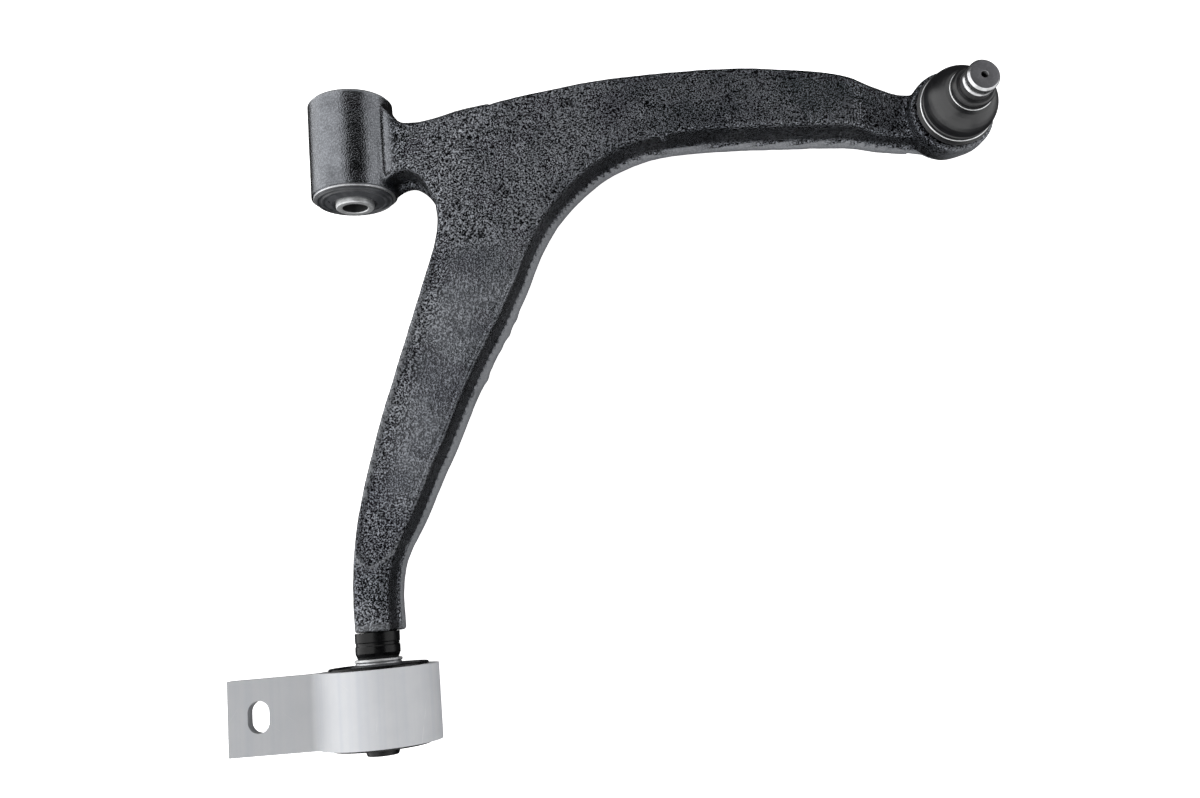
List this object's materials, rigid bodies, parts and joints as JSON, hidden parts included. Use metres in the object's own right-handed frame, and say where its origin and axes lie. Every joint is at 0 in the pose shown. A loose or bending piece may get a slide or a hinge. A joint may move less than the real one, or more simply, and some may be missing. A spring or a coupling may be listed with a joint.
{
  "type": "suspension control arm",
  "caption": "Cast L-shaped lower suspension arm with a front bush in an eye, a ball joint with a clamped stud, and a rear bush in an extruded aluminium bracket.",
  "frame": {"origin": "centre of the front bush bore, half way along it", "axes": "+Y along the pivot axis through both bushes, towards the front bush's free end; +X towards the ball joint; +Z towards the stud's end"},
  "size_m": [0.4509, 0.3815, 0.0881],
  "materials": {
    "cast_iron_coated": "coarse sand-cast surface under black semi-gloss coating",
    "black_steel": "smooth black coating on turned steel",
    "bright_steel": "machined, lightly oiled",
    "plated_steel": "zinc plated",
    "spring_steel": "bright drawn wire",
    "rubber_black": "moulded, satin",
    "polymer_seat": "natural polymer",
    "aluminium_extruded": "as extruded, saw-cut ends"
  },
  "bodies": {
    "arm": {"arm_body": "cast_iron_coated", "rear_pin": "black_steel", "rear_thrust_washer": "plated_steel", "front_bush_outer_sleeve": "plated_steel", "front_bush_rubber": "rubber_black", "ball_joint_housing": "black_steel", "ball_race_upper": "polymer_seat", "ball_race_lower": "polymer_seat", "ball_race_spring": "spring_steel", "ball_joint_cover": "plated_steel", "ball_joint_snap_ring": "spring_steel", "boot_lower_ring": "spring_steel", "rear_bush_inner_sleeve": "plated_steel"},
    "front_sleeve": {"front_bush_inner_sleeve": "bright_steel"},
    "rear_mount": {"rear_bracket": "aluminium_extruded", "rear_bush_outer_sleeve": "black_steel", "rear_bush_rubber": "rubber_black"},
    "boot_swing": {"boot": "rubber_black"},
    "boot_top": {"boot_upper_ring": "spring_steel"},
    "stud": {"ball_stud": "bright_steel"}
  },
  "joints": [
    {"name": "front_bush_twist", "type": "hinge", "parent": "arm", "child": "front_sleeve", "pos_m": [0, 0, 0], "axis": [0, 1, 0], "range_deg": [-20, 20], "stiffness_Nm_per_rad": 50},
    {"name": "rear_bush_twist", "type": "hinge", "parent": "arm", "child": "rear_mount", "pos_m": [0, -0.32, 0], "axis": [0, 1, 0], "range_deg": [-20, 20], "stiffness_Nm_per_rad": 40},
    {"name": "stud_swing_long", "type": "hinge", "parent": "arm", "child": "boot_swing", "pos_m": [0.346, -0.023, 0.003], "axis": [0.9877, 0, -0.1564], "range_deg": [-15, 15], "deforming": ["boot"]},
    {"name": "stud_swing_cross", "type": "hinge", "parent": "boot_swing", "child": "boot_top", "pos_m": [0.346, -0.023, 0.003], "axis": [0, 1, 0], "range_deg": [-15, 15]},
    {"name": "stud_turn", "type": "hinge", "parent": "boot_top", "child": "stud", "pos_m": [0.346, -0.023, 0.003], "axis": [0.1564, 0, 0.9877], "continuous": true}
  ]
}
